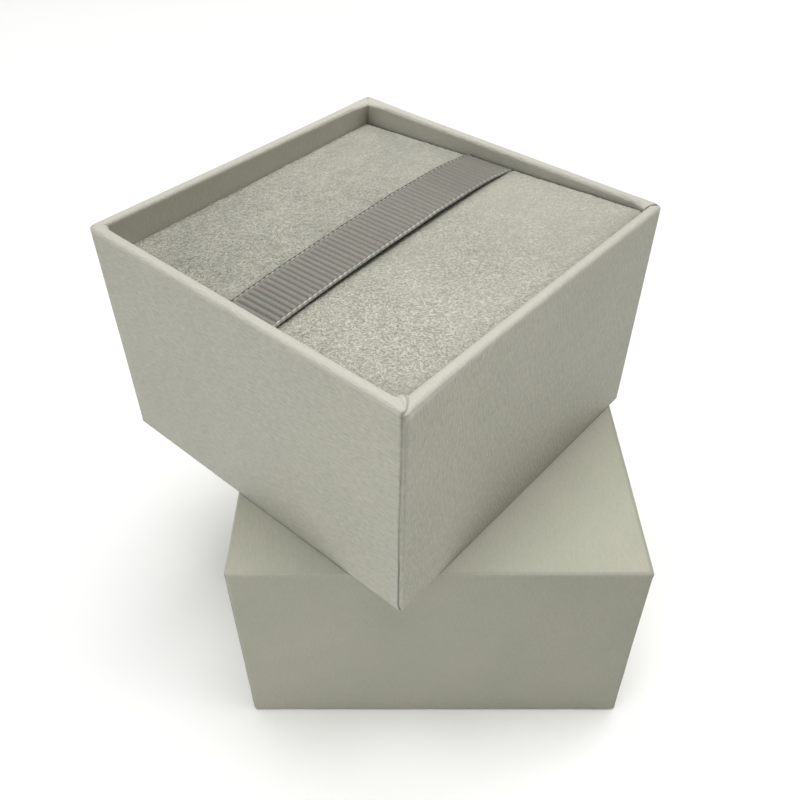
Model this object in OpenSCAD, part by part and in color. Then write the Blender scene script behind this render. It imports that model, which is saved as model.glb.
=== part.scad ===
// Square gift box for jewellery, in two rigid parts that telescope together.
// The lid stands open side down. The tray stands on it, turned, and holds a
// padded insert with a ribbon across it.
//
// +Z is up. The origin is on the tray's vertical axis, at the height of the
// surface that the lid stands on. In the tray's own frame X runs along the
// ribbon and Y across it.

/* [Lid] */
// Outside width of the lid, both ways
lid_w = 65; // [50:0.5:100]
// Outside height of the lid
lid_h = 40.9; // [25:0.1:60]
// Distance of the lid's middle to the right of the tray's axis
lid_x = 8.9; // [-15:0.1:15]
// Distance of the lid's middle behind the tray's axis
lid_y = -4; // [-15:0.1:15]

/* [Tray] */
// Outside width of the tray, both ways
tray_w = 61.2; // [45:0.1:90]
// Outside height of the tray
tray_h = 39.9; // [25:0.1:60]
// Angle that the tray is turned on the lid
tray_turn = 49.1; // [0:0.1:90]

/* [Board and paper] */
// Thickness of the greyboard
board_t = 1.2; // [0.6:0.1:1.5]
// Gap between neighbouring board walls where they meet at a corner
corner_slit = 0.1; // [0.05:0.05:0.3]
// Thickness of the wrapping paper
wrap_t = 0.13; // [0.08:0.01:0.25]
// Depth to which the wrapping paper is turned in over the rim
turn_in = 12; // [6:0.5:16]
// Outside radius of the wrapped upright corners
corner_r = 0.6; // [0.5:0.1:1.2]
// Thickness of the corner stay paper, and of the glue line beside it
stay_t = 0.1; // [0.05:0.01:0.15]
// Width of each leg of a corner stay
stay_w = 9; // [5:0.5:15]
// Thickness of the lining paper
lining_t = 0.1; // [0.08:0.01:0.15]

/* [Insert] */
// Depth of the middle of the pad below the tray's rim
pad_recess = 3; // [2.6:0.1:8]
// Angle at which the pad falls towards the tray's +Y wall
pad_fall = 3.2; // [0:0.1:4]
// Angle at which the pad rises towards the tray's +X wall
pad_rise = 1.2; // [0:0.1:2.5]
// Gap between the insert and the tray's walls
insert_gap = 0.4; // [0.3:0.05:0.8]
// Thickness of the suede
suede_t = 0.6; // [0.4:0.1:1]
// Width of the suede hem turned under the pad's card
hem = 10; // [5:0.5:18]
// Radius of the pad's upright corners
pad_corner_r = 1.6; // [1.2:0.1:3]
// Thickness of the pad's wadding
wadding_t = 3; // [1:0.5:5]
// Thickness of the card under the wadding
card_t = 1; // [0.5:0.1:1.5]
// Radius of the foam block's upright corners
block_r = 1; // [0.5:0.1:2]

/* [Ribbon] */
// Width of the ribbon
ribbon_w = 9.5; // [5:0.5:15]
// Thickness of the ribbon
ribbon_t = 0.4; // [0.3:0.05:0.6]
// Height of the ribbon's arch above the pad
ribbon_arch = 1.2; // [0.5:0.1:3]
// Distance of the ribbon from the pad's middle line, towards the +Y wall
ribbon_offset = -0.3; // [-3:0.1:3]
// Length of ribbon glued under the pad at each end
ribbon_tail = 12; // [6:0.5:20]

/* [Hidden] */
$fn = 64;

// Overlap that makes a cut run clean through a face
cut = 1;
// Clearance between the foam block and the ribbon's glued ends above it
block_clear = 0.2;
// Facets of the whole circle that the ribbon's shallow arch is part of
arch_fn = 720;

// Widths across the board, inside the board, and inside the turned-in paper
function board_w(w) = w - 2 * (wrap_t + stay_t);
function inside_w(w) = board_w(w) - 2 * board_t;
function rim_w(w) = inside_w(w) - 2 * wrap_t;

// Radii inside the wrapping paper, and of the board's upright corners
wrap_inner_r = corner_r - wrap_t;
board_r = wrap_inner_r - stay_t;

// Heights of the board panel's two faces and of the liner on it
panel_z = wrap_t;
panel_top_z = panel_z + board_t;
liner_top_z = panel_top_z + lining_t;

// The pad's size with its suede on. The ribbon takes the rest of its length.
pad_y = rim_w(tray_w) - 2 * insert_gap;
pad_x = pad_y - 2 * ribbon_t;
pad_t = suede_t + wadding_t + card_t + suede_t;
pad_inner_r = pad_corner_r - suede_t;
block_w = pad_y;

lid_color = [0.66, 0.66, 0.58];
tray_color = [0.69, 0.69, 0.63];
board_color = [0.55, 0.53, 0.5];
stay_color = [0.72, 0.64, 0.5];
lining_color = [0.86, 0.85, 0.8];
foam_color = [0.9, 0.88, 0.82];
suede_color = [0.73, 0.73, 0.67];
ribbon_color = [0.57, 0.56, 0.52];

// An upright block, centred on X and Y, standing on Z = 0
module block(x, y, z) {
    translate([-x / 2, -y / 2, 0])
        cube([x, y, z]);
}

// A rectangle with round corners, centred
module round_rect(x, y, r) {
    square([x - 2 * r, y], center = true);
    square([x, y - 2 * r], center = true);
    for (sx = [-1, 1], sy = [-1, 1])
        translate([sx * (x / 2 - r), sy * (y / 2 - r)])
            circle(r);
}

module round_block(x, y, r, z) {
    linear_extrude(z)
        round_rect(x, y, r);
}

// A square tube of paper, with sharp corners
module paper_tube(w, t, z) {
    difference() {
        block(w, w, z);
        translate([0, 0, -cut])
            block(w - 2 * t, w - 2 * t, z + 2 * cut);
    }
}

// The shell of either half, as an open-topped box of outside width w and
// height h that stands on its closed panel at Z = 0

// One scored sheet: a panel and four walls that meet edge to face at the corners
module shell_board(w, h) {
    inside = inside_w(w);
    difference() {
        translate([0, 0, panel_z])
            round_block(board_w(w), board_w(w), board_r, h - 2 * wrap_t);
        translate([0, 0, panel_top_z])
            block(inside, inside, h);
        for (sx = [-1, 1], sy = [-1, 1])
            translate([
                sx * (inside + corner_slit) / 2,
                sy * (inside + board_t) / 2,
                panel_top_z
            ])
                block(corner_slit, board_t + cut, h);
    }
}

// A strip of stay paper glued round the outside of one upright corner
module shell_stay(w, h, quarter) {
    outside = board_w(w) + 2 * stay_t;
    rotate(90 * quarter)
        translate([0, 0, panel_z])
            intersection() {
                difference() {
                    round_block(outside, outside, wrap_inner_r, h - 2 * wrap_t);
                    translate([0, 0, -cut])
                        round_block(board_w(w), board_w(w), board_r, h + cut);
                }
                translate([outside / 2 - stay_w, outside / 2 - stay_w, 0])
                    cube([stay_w, stay_w, h]);
            }
}

// The paper skin: outside panel and walls, over the rim, and down the inside
module shell_wrap(w, h) {
    skin_w = w - 2 * wrap_t;
    difference() {
        round_block(w, w, corner_r, h);
        translate([0, 0, wrap_t])
            round_block(skin_w, skin_w, wrap_inner_r, h - 2 * wrap_t);
        translate([0, 0, h / 2])
            block(rim_w(w), rim_w(w), h);
    }
    translate([0, 0, h - turn_in])
        paper_tube(inside_w(w), wrap_t, turn_in);
}

// Lining paper on the walls, from the panel's liner to the turned-in paper
module shell_wall_lining(w, h) {
    translate([0, 0, liner_top_z])
        paper_tube(inside_w(w), lining_t, h - turn_in - liner_top_z);
}

module shell_panel_liner(w) {
    translate([0, 0, panel_top_z])
        block(inside_w(w), inside_w(w), lining_t);
}

// Where things stand

// Turns a shell over to be the lid, with its rim on the surface
module as_lid() {
    translate([lid_x, lid_y, lid_h])
        rotate([180, 0, 0])
            children();
}

// Stands a shell, or what is in it, on the lid
module in_tray() {
    translate([0, 0, lid_h])
        rotate(tray_turn)
            children();
}

// The pad's frame: its middle, level with the pad's own faces
module in_pad() {
    in_tray()
        pad_seat()
            children();
}

module pad_seat() {
    translate([0, 0, tray_h - pad_recess - pad_t / 2])
        rotate([-pad_fall, -pad_rise, 0])
            children();
}

// The lid

module lid_board() {
    color(board_color)
        as_lid()
            shell_board(lid_w, lid_h);
}

module lid_wrap() {
    color(lid_color)
        as_lid()
            shell_wrap(lid_w, lid_h);
}

module lid_wall_lining() {
    color(lining_color)
        as_lid()
            shell_wall_lining(lid_w, lid_h);
}

module lid_ceiling_liner() {
    color(lining_color)
        as_lid()
            shell_panel_liner(lid_w);
}

module lid_stay(quarter) {
    color(stay_color)
        as_lid()
            shell_stay(lid_w, lid_h, quarter);
}

// The tray

module tray_board() {
    color(board_color)
        in_tray()
            shell_board(tray_w, tray_h);
}

module tray_wrap() {
    color(tray_color)
        in_tray()
            shell_wrap(tray_w, tray_h);
}

module tray_wall_lining() {
    color(lining_color)
        in_tray()
            shell_wall_lining(tray_w, tray_h);
}

module tray_floor_liner() {
    color(lining_color)
        in_tray()
            shell_panel_liner(tray_w);
}

module tray_stay(quarter) {
    color(stay_color)
        in_tray()
            shell_stay(tray_w, tray_h, quarter);
}

// The insert

// Fills the tray up to the pad, and is cut to the pad's slope on top
module foam_block() {
    color(foam_color)
        in_tray()
            difference() {
                translate([0, 0, liner_top_z])
                    round_block(block_w, block_w, block_r, tray_h);
                pad_seat()
                    translate([0, 0, -pad_t / 2 - ribbon_t - block_clear])
                        block(2 * tray_w, 2 * tray_w, 2 * tray_h);
            }
}

module pad_card() {
    color(board_color)
        in_pad()
            translate([0, 0, suede_t - pad_t / 2])
                round_block(pad_x - 2 * suede_t, pad_y - 2 * suede_t, pad_inner_r, card_t);
}

module pad_wadding() {
    color(foam_color)
        in_pad()
            translate([0, 0, suede_t + card_t - pad_t / 2])
                round_block(pad_x - 2 * suede_t, pad_y - 2 * suede_t, pad_inner_r, wadding_t);
}

// Suede over the wadding, down the sides and turned under the card
module suede_cover() {
    color(suede_color)
        in_pad()
            translate([0, 0, -pad_t / 2])
                difference() {
                    round_block(pad_x, pad_y, pad_corner_r, pad_t);
                    translate([0, 0, suede_t])
                        round_block(
                            pad_x - 2 * suede_t,
                            pad_y - 2 * suede_t,
                            pad_inner_r,
                            card_t + wadding_t
                        );
                    translate([0, 0, -cut])
                        block(pad_x - 2 * hem, pad_y - 2 * hem, suede_t + 2 * cut);
                }
}

// The ribbon's edge-on outline: an arch over the pad, then round under both ends
module ribbon_outline() {
    half = pad_x / 2;
    arch_r = (half * half + ribbon_arch * ribbon_arch) / (2 * ribbon_arch);
    intersection() {
        translate([0, pad_t / 2 + ribbon_arch - arch_r])
            difference() {
                circle(arch_r + ribbon_t, $fn = arch_fn);
                circle(arch_r, $fn = arch_fn);
            }
        translate([-half - ribbon_t, pad_t / 2 - ribbon_t])
            square([pad_x + 2 * ribbon_t, ribbon_arch + 3 * ribbon_t]);
    }
    for (end = [0, 1])
        mirror([end, 0]) {
            translate([half, -pad_t / 2 - ribbon_t])
                square([ribbon_t, pad_t + ribbon_t]);
            translate([half - ribbon_tail, -pad_t / 2 - ribbon_t])
                square([ribbon_tail + ribbon_t, ribbon_t]);
        }
}

module ribbon() {
    color(ribbon_color)
        in_pad()
            translate([0, ribbon_offset, 0])
                rotate([90, 0, 0])
                    linear_extrude(ribbon_w, center = true)
                        ribbon_outline();
}

lid_board();
lid_wrap();
lid_wall_lining();
lid_ceiling_liner();
lid_stay(3);  // lid_stay_back_right
lid_stay(0);  // lid_stay_front_right
lid_stay(1);  // lid_stay_front_left
lid_stay(2);  // lid_stay_back_left
tray_board();
tray_wrap();
tray_wall_lining();
tray_floor_liner();
tray_stay(0);  // tray_stay_back
tray_stay(1);  // tray_stay_left
tray_stay(2);  // tray_stay_front
tray_stay(3);  // tray_stay_right
foam_block();
pad_card();
pad_wadding();
suede_cover();
ribbon();
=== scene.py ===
import math

import bpy
import numpy as np
from mathutils import Matrix, Vector
from mathutils.bvhtree import BVHTree


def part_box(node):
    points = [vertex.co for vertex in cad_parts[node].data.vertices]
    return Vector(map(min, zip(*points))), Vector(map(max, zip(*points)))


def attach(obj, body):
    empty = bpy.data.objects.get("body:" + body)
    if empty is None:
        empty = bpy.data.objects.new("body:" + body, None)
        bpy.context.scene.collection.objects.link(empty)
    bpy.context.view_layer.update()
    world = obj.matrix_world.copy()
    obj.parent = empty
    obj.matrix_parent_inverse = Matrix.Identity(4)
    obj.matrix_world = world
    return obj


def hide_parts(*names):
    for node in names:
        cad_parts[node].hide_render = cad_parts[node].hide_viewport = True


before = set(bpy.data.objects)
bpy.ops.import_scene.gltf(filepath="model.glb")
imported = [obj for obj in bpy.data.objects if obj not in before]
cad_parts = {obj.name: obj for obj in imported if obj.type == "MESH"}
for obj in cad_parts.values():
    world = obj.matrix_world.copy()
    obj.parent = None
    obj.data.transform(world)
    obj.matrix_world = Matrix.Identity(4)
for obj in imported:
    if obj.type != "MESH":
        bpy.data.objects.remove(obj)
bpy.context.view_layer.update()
MM = 0.001

# ---------------------------------------------------------------- sizes, in mm

RIM_T = 1.56            # thickness of a finished wall: paper, stay, board, paper
SKIN_T = 0.1            # thickness of the wrapping paper
TURN_IN = 12.0          # paper turned down inside the wall
EDGE_R = 0.4            # rounding of the folded edge round a panel
RIM_OUT_R = 0.45        # rounding of the rim on the outside
RIM_IN_R = 0.5          # rounding of the rim on the inside
CORNER_R = 0.56         # rounding of an upright corner
INNER_R = 0.15          # the same, seen from inside
SEAM_RISE = 0.04        # height of the overlapping sheet above the mean face
SEAM_GROOVE = 0.04      # depth of the groove along a cut edge
SEAM_W = 0.11           # half width of that groove
RIM_BEAD = 0.12         # how far the folded paper stands off the rim
PAPER_SWELL = 0.018     # unevenness of the glued paper
TURN_IN_PAINTED_SHADE = 0.9     # painted shade on the paper turned down inside the walls
TURN_IN_CRISP = 0.4     # and its embossing is pressed flatter

RIBBON_W = 9.5
RIBBON_T = 0.4
RIBBON_TAIL = 12.0      # ribbon glued under the pad
RIBBON_AT = -0.34       # where its middle line crosses the pad's middle
RIB_PITCH = 1.02
PAD_CROWN = 0.5         # rise of the pad's middle above its edges
PAD_EDGE_R = 0.42       # rounding of the pad's top edge
PAD_PLAN_R = 0.7        # rounding of its upright corners
PAD_SWELL = 0.34        # how far the soft sides press on the walls
PAD_CELL = 0.09         # spacing of the pad's mesh
NAP_HALF = 36.0         # half the width of the picture of the nap
NAP_CELL = 0.053        # spacing of that picture
NAP_DEPTH = 0.035       # height of its fibres, for each unit of the picture
NAP_LAYERS = 11         # layers of fibres, and of loose ones on top of them
NAP_LOOSE_LAYERS = 2

FLOOR_Z = -0.2          # just under the fold of the lid's rim
FLOOR_REACH = 2000.0    # half the floor's width
NOISE_CELLS = 97        # the noise repeats after this many cells


# ---------------------------------------------------------------- small tools

def unit(v):
    v = np.asarray(v, float)
    return v / np.linalg.norm(v)


def smooth(t):
    """0 below 0, 1 above 1, and a smooth step between."""
    t = np.clip(t, 0, 1)
    return t * t * (3 - 2 * t)


def bell(x, width):
    return np.exp(-(x / width) ** 2)


def between(at, i, j, fx, fy):
    """Blends at(i, j) with its next neighbours by the shares fx and fy."""
    low = at(i, j) * (1 - fx) + at(i + 1, j) * fx
    high = at(i, j + 1) * (1 - fx) + at(i + 1, j + 1) * fx
    return low * (1 - fy) + high * fy


def value_noise(x, y, cell, seed):
    """Smooth random values from -1 to 1 over a plane, on a grid of that cell."""
    table = np.random.default_rng(seed).uniform(-1, 1, (NOISE_CELLS, NOISE_CELLS))
    gx, gy = np.asarray(x, float) / cell, np.asarray(y, float) / cell
    i, j = np.floor(gx).astype(int), np.floor(gy).astype(int)

    def at(i, j):
        return table[i % NOISE_CELLS, j % NOISE_CELLS]

    return between(at, i, j, smooth(gx - i), smooth(gy - j))


def node_points(node):
    """The vertices of a CAD node, in mm."""
    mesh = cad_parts[node].data
    co = np.zeros(len(mesh.vertices) * 3)
    mesh.vertices.foreach_get("co", co)
    return co.reshape(-1, 3) / MM


class Place:
    """A right-handed set of axes somewhere in the assembly, in mm."""

    def __init__(self, origin, x, z):
        self.origin = np.asarray(origin, float)
        z = unit(z)
        x = unit(np.asarray(x, float) - np.dot(x, z) * z)
        self.axes = np.array([x, np.cross(z, x), z])

    def world(self, local):
        return (self.origin + np.asarray(local) @ self.axes) * MM

    def local(self, world_mm):
        return (np.asarray(world_mm) - self.origin) @ self.axes.T


def grid_faces(rows, cols, wrap):
    """Quads over a grid of rows by cols points; wrap joins the last column to the first."""
    r = np.arange(rows - 1)[:, None] * cols
    c = np.arange(cols if wrap else cols - 1)[None, :]
    n = (c + 1) % cols
    return np.stack([r + c, r + n, r + cols + n, r + cols + c], -1).reshape(-1, 4)


def corner_uv(rows, cols, place, turned=False):
    """place(row, columns) for each face corner of a wrapped grid, or of one with turned quads."""
    left = np.arange(cols)
    right = (left + 1) % cols
    uv = []
    for r in range(rows - 1):
        corners = [(r, left), (r, right), (r + 1, right), (r + 1, left)]
        if turned:
            corners.reverse()
        uv.append(np.stack([np.stack(place(*corner), 1) for corner in corners], 1))
    return np.concatenate(uv).reshape(-1, 2)


def link(name, data):
    """A new object in the scene."""
    made = bpy.data.objects.new(name, data)
    bpy.context.scene.collection.objects.link(made)
    return made


def make_piece(name, place, points, quads, others, material, attributes=None, uv=None):
    """A smooth-shaded mesh object from local points in mm; others are faces that aren't quads."""
    mesh = bpy.data.meshes.new(name)
    mesh.from_pydata(place.world(points).tolist(), [], quads.tolist() + others)
    mesh.polygons.foreach_set("use_smooth", np.ones(len(mesh.polygons), bool))
    for key, values in (attributes or {}).items():
        layer = mesh.attributes.new(key, "FLOAT", "POINT")
        layer.data.foreach_set("value", np.asarray(values, np.float32).ravel())
    if uv is not None:
        layer = mesh.uv_layers.new(name="sheet")
        layer.data.foreach_set("uv", np.asarray(uv, np.float32).ravel())
    mesh.materials.append(material)
    mesh.validate()
    mesh.update()
    return link(name, mesh)


# ---------------------------------------------------------------- where things are

def lid_place():
    low, high = (np.array(c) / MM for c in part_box("lid_wrap"))
    middle = (low + high) / 2
    return Place([middle[0], middle[1], high[2]], [1, 0, 0], [0, 0, -1])


def tray_place():
    """The floor liner has sharp corners, so its rightmost one gives the tray's turn."""
    liner = node_points("tray_floor_liner")
    middle = (liner.min(0) + liner.max(0)) / 2
    corner = liner[np.argmax(liner[:, 0])] - middle
    turn = math.atan2(corner[1], corner[0]) + math.pi / 4
    floor_z = node_points("tray_wrap")[:, 2].min()
    return Place([middle[0], middle[1], floor_z], [math.cos(turn), math.sin(turn), 0], [0, 0, 1])


def pad_place(tray):
    """Origin in the middle of the suede's top face, z square to it."""
    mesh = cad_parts["pad_card"].data
    up = sum((p.normal * p.area for p in mesh.polygons if p.normal.z > 0.9), Vector())
    z = unit(up)
    x = np.cross(tray.axes[1], z)
    flat = Place([0, 0, 0], x, z)
    cover = flat.local(node_points("suede_cover"))
    low, high = cover.min(0), cover.max(0)
    top_middle = np.array([(low[0] + high[0]) / 2, (low[1] + high[1]) / 2, high[2]])
    return Place(flat.world(top_middle) / MM, x, z), (high - low)


LID = lid_place()
TRAY = tray_place()
PAD, PAD_SIZE = pad_place(TRAY)
LID_HALF, LID_H = LID.local(node_points("lid_wrap")).max(0)[[0, 2]]
TRAY_HALF, TRAY_H = TRAY.local(node_points("tray_wrap")).max(0)[[0, 2]]


# ---------------------------------------------------------------- materials

class Shader:
    """A Principled material built from short calls."""

    def __init__(self, name, rough, specular=0.3, **sockets):
        self.material = bpy.data.materials.new(name)
        self.material.use_nodes = True
        self.tree = self.material.node_tree
        self.out = self.tree.nodes["Principled BSDF"]
        self.out.inputs["Roughness"].default_value = rough
        self.out.inputs["Specular IOR Level"].default_value = specular
        for key, value in sockets.items():
            self.out.inputs[key.replace("_", " ")].default_value = value

    def node(self, kind, **inputs):
        made = self.tree.nodes.new("ShaderNode" + kind)
        for key, value in inputs.items():
            self.feed(made.inputs[key.replace("_", " ")], value)
        return made

    def feed(self, socket, value):
        if isinstance(value, bpy.types.NodeSocket):
            self.tree.links.new(value, socket)
        else:
            socket.default_value = value

    def mapped(self, point, scale):
        made = self.node("Mapping", Vector=point)
        made.inputs["Scale"].default_value = scale
        return made.outputs[0]

    def sheet(self, u, v):
        """Places on the flat sheet, times u and v per mm."""
        base = self.node("UVMap")
        base.uv_map = "sheet"
        return self.mapped(base.outputs[0], (u, v, 1))

    def space(self, *per_mm):
        """Places in the object, times one number per mm, or one for each axis."""
        scale = [s * 1000.0 for s in per_mm] * (3 // len(per_mm))
        return self.mapped(self.node("TexCoord").outputs["Object"], scale)

    def noise(self, vector, detail=2.0, rough=0.5, distort=0.0):
        settings = {"Scale": 1.0, "Detail": detail, "Roughness": rough, "Distortion": distort}
        return self.node("TexNoise", Vector=vector, **settings).outputs["Fac"]

    def cells(self, vector):
        """Distance from the middle of the nearest of random cells."""
        return self.node("TexVoronoi", Vector=vector, Scale=1.0).outputs["Distance"]

    def attribute(self, name):
        made = self.node("Attribute")
        made.attribute_name = name
        return made.outputs["Fac"]

    def math(self, operation, a, b=0.0, c=0.0):
        made = self.node("Math")
        made.operation = operation
        for socket, value in zip(made.inputs, (a, b, c)):
            self.feed(socket, value)
        return made.outputs[0]

    def spread(self, value, low, high, to_low, to_high):
        made = self.node("MapRange", Value=value)
        ends = {"From Min": low, "From Max": high, "To Min": to_low, "To Max": to_high}
        for key, number in ends.items():
            made.inputs[key].default_value = number
        return made.outputs[0]

    def blend(self, factor, a, b):
        made = self.node("Mix")
        made.data_type = "RGBA"
        self.feed(made.inputs["Factor"], factor)
        self.feed(made.inputs[6], a)
        self.feed(made.inputs[7], b)
        return made.outputs[2]

    def mottle(self, noise, a, b):
        """Colour a where the noise is low, b where it is high."""
        return self.blend(self.spread(noise, 0.3, 0.7, 0, 1), a, b)

    def vary(self, colour, noise, low, high, dim, bright):
        """colour times dim where the noise is low, and bright where it is high."""
        return self.scaled(colour, self.spread(noise, low, high, dim, bright))

    def scaled(self, colour, factor):
        """colour times a number."""
        made = self.node("VectorMath")
        made.operation = "SCALE"
        self.feed(made.inputs[0], colour)
        self.feed(made.inputs["Scale"], factor)
        return made.outputs[0]

    def bump(self, height, depth_mm, normal=None, strength=1.0):
        made = self.node("Bump", Height=height, Strength=strength, Distance=depth_mm * MM)
        if normal is not None:
            self.feed(made.inputs["Normal"], normal)
        return made.outputs[0]

    def done(self, colour, normal=None, rough=None):
        for key, value in {"Base Color": colour, "Normal": normal, "Roughness": rough}.items():
            if value is not None:
                self.feed(self.out.inputs[key], value)
        return self.material


def tone(red, green, blue):
    """An sRGB colour, 0 to 255, as the linear RGBA that a shader takes."""
    def linear(c):
        c /= 255
        return c / 12.92 if c <= 0.04045 else ((c + 0.055) / 1.055) ** 2.4
    return (linear(red), linear(green), linear(blue), 1.0)


def wrap_paper(name, pale, dark, wear_and_highlight, emboss):
    """Embossed wrapping paper: short streaks, soft clouds, folds paler from wear and painted
    highlight, and the mesh's shade.
    """
    s = Shader(name, rough=0.62, specular=0.28)
    streak = s.noise(s.sheet(3.5, 1.05), detail=2, rough=0.55, distort=0.3)
    thread = s.noise(s.sheet(4.2, 0.5), detail=1, rough=0.4)
    grain = s.noise(s.sheet(6, 6), detail=3, rough=0.6)
    cloud = s.noise(s.sheet(0.06, 0.05), detail=4, rough=0.6)
    relief = s.math("MULTIPLY_ADD", streak, 0.7, s.math("MULTIPLY", thread, 0.45))
    colour = s.mottle(cloud, dark, pale)
    streaks = s.spread(relief, 0.42, 0.73, -0.085 * emboss, 0.085 * emboss)
    colour = s.scaled(colour, s.math("MULTIPLY_ADD", streaks, s.attribute("crisp"), 1.0))
    colour = s.vary(colour, grain, 0.35, 0.65, 0.985, 1.015)
    # folds paler from wear and painted highlight; then the mesh's shade, painted shade and the
    # seams' dark lines
    colour = s.blend(s.attribute("wear_and_highlight"), colour, wear_and_highlight)
    colour = s.scaled(colour, s.attribute("shade"))
    normal = s.bump(relief, 0.18 * emboss, strength=s.attribute("crisp"))
    normal = s.bump(grain, 0.012, normal)
    rough = s.spread(cloud, 0.3, 0.7, 0.56, 0.68)
    return s.done(colour, normal, rough)


def plain_paper(name, pale, dark):
    """Uncoated paper on a CAD node: long soft fibres and flecks."""
    s = Shader(name, rough=0.85, specular=0.2)
    fibre = s.noise(s.space(3.5, 3.5, 0.9), detail=4, rough=0.65, distort=0.8)
    fleck = s.cells(s.space(1.3))
    cloud = s.noise(s.space(0.08), detail=3)
    colour = s.mottle(cloud, dark, pale)
    colour = s.vary(colour, fibre, 0.3, 0.7, 0.95, 1.04)
    colour = s.vary(colour, fleck, 0.0, 0.12, 0.86, 1.0)
    return s.done(colour, s.bump(fibre, 0.02), s.spread(fibre, 0.3, 0.7, 0.78, 0.92))


def greyboard():
    """Recycled board: mottled pulp with dark and pale specks."""
    s = Shader("greyboard", rough=0.9, specular=0.15)
    pulp = s.noise(s.space(1.4), detail=5, rough=0.7, distort=1.0)
    dark = s.cells(s.space(1.1))
    pale = s.cells(s.space(1.7))
    colour = s.mottle(pulp, tone(126, 122, 112), tone(152, 148, 136))
    colour = s.vary(colour, dark, 0.03, 0.14, 0.6, 1.0)
    colour = s.blend(s.spread(pale, 0.02, 0.1, 0.5, 0.0), colour, tone(198, 194, 182))
    return s.done(colour, s.bump(pulp, 0.06))


def suede():
    """Brushed microfibre: the nap's relief and tone from the mesh, with painted light and shade in
    the tone, dark pits of painted shade, and a soft sheen.
    """
    s = Shader("suede", rough=0.95, specular=0.12, Sheen_Weight=0.35, Sheen_Roughness=0.45)
    nap = s.attribute("nap")
    fuzz = s.noise(s.space(7.0), detail=3, rough=0.65, distort=1.0)
    cloud = s.noise(s.space(0.11), detail=4, rough=0.6)
    # raised fibres paler and the gaps between them darker: the fibres' tone with painted light and
    # shade
    colour = s.blend(s.spread(nap, -1.0, 0.8, 0, 1), tone(126, 126, 113), tone(196, 195, 183))
    # darker in the fuzz's hollows: painted shade
    pits = s.spread(fuzz, 0.32, 0.5, -0.34, 0.04)
    colour = s.scaled(colour, s.math("MULTIPLY_ADD", pits, s.attribute("lively"), 1.0))
    colour = s.vary(colour, cloud, 0.3, 0.7, 0.965, 1.03)
    # the mesh's painted light and shade over the pad, with random patches
    colour = s.scaled(colour, s.attribute("shade"))
    return s.done(colour, s.bump(fuzz, 0.05))


def grosgrain():
    """Ribbed ribbon: satin weft over cords, pale stitches on the selvedges."""
    s = Shader("grosgrain", rough=0.5, specular=0.45)
    weft = s.noise(s.sheet(1.1, 7.5), detail=2, rough=0.5)
    fuzz = s.noise(s.sheet(6, 3), detail=3, rough=0.6)
    hue = s.noise(s.sheet(0.5, 0.12), detail=2)
    colour = s.blend(s.spread(hue, 0.35, 0.65, 0, 1), tone(138, 138, 127), tone(137, 133, 126))
    colour = s.vary(colour, weft, 0.3, 0.7, 0.88, 1.09)
    colour = s.vary(colour, fuzz, 0.3, 0.7, 0.92, 1.07)
    colour = s.blend(s.attribute("stitch"), colour, tone(212, 209, 199))
    # the mesh's shade: painted shade in the ribbon's grooves and gaps, and towards its right end
    colour = s.scaled(colour, s.attribute("shade"))
    normal = s.bump(weft, 0.03)
    normal = s.bump(fuzz, 0.012, normal)
    return s.done(colour, normal, s.spread(weft, 0.3, 0.7, 0.42, 0.6))


def foam():
    """Open-cell foam: two sizes of pore, their hollows darkened with painted shade."""
    s = Shader("foam", rough=1.0, specular=0.05)
    pores = s.cells(s.space(1.6))
    small = s.cells(s.space(4.0))
    cloud = s.noise(s.space(0.1), detail=3)
    colour = s.mottle(cloud, tone(205, 203, 196), tone(222, 221, 215))
    # both sizes of pore darker in their middles: painted shade in the hollows
    colour = s.vary(colour, pores, 0.05, 0.4, 0.72, 1.0)
    colour = s.vary(colour, small, 0.05, 0.4, 0.86, 1.0)
    normal = s.bump(pores, 0.35)
    normal = s.bump(small, 0.15, normal)
    return s.done(colour, normal)


def matt_floor():
    s = Shader("backdrop", rough=0.9, specular=0.0)
    cloud = s.noise(s.space(0.004), detail=2)
    return s.done(s.blend(cloud, tone(250, 250, 249), tone(252, 252, 251)))


# ---------------------------------------------------------------- the paper skins

# Walls and upright corners are numbered anticlockwise, with the local z up: wall 0 faces -y,
# 1 faces +x, 2 faces +y and 3 faces -x, and corner k lies between walls k and k + 1. Seen
# from the camera, the tray's corner 0 is at the right, 1 at the back, 2 at the left and 3 in
# front. The lid lies upside down in its own axes, and its corners 1 and 2 are the front ones.

NEAR = np.concatenate([np.arange(0, 0.95, 0.05), [1.1, 1.5, 2.1, 3.0]])
MIDDLE = 44
ARC = 16


def ring(half, radius):
    """Points of a rounded square, anticlockwise from the start of its -y side.

    Gives each point's place, its outward direction, and its distance along the
    outline from the middle of the -y side; and the outline's length.
    """
    flat = half - radius
    near = NEAR * min(1.0, flat / (1.4 * NEAR[-1]))
    middle = np.linspace(-flat + near[-1], flat - near[-1], MIDDLE + 2)[1:-1]
    along = np.concatenate([near - flat, middle, (flat - near)[::-1]])
    angle = np.arange(1, ARC) / ARC * math.pi / 2
    x = np.concatenate([along, flat + radius * np.sin(angle)])
    y = np.concatenate([np.full(len(along), -half), -flat - radius * np.cos(angle)])
    nx = np.concatenate([np.zeros(len(along)), np.sin(angle)])
    ny = np.concatenate([-np.ones(len(along)), -np.cos(angle)])
    p = np.concatenate([along, flat + radius * angle])
    quarter = 2 * flat + radius * math.pi / 2
    spots, outs, distances = [], [], []
    for side in range(4):
        c, s = round(math.cos(side * math.pi / 2)), round(math.sin(side * math.pi / 2))
        spots.append(np.stack([c * x - s * y, s * x + c * y], 1))
        outs.append(np.stack([c * nx - s * ny, s * nx + c * ny], 1))
        distances.append(p + side * quarter)
    return np.concatenate(spots), np.concatenate(outs), np.concatenate(distances), 4 * quarter


SIDE_COLS = 2 * len(NEAR) + MIDDLE


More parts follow.
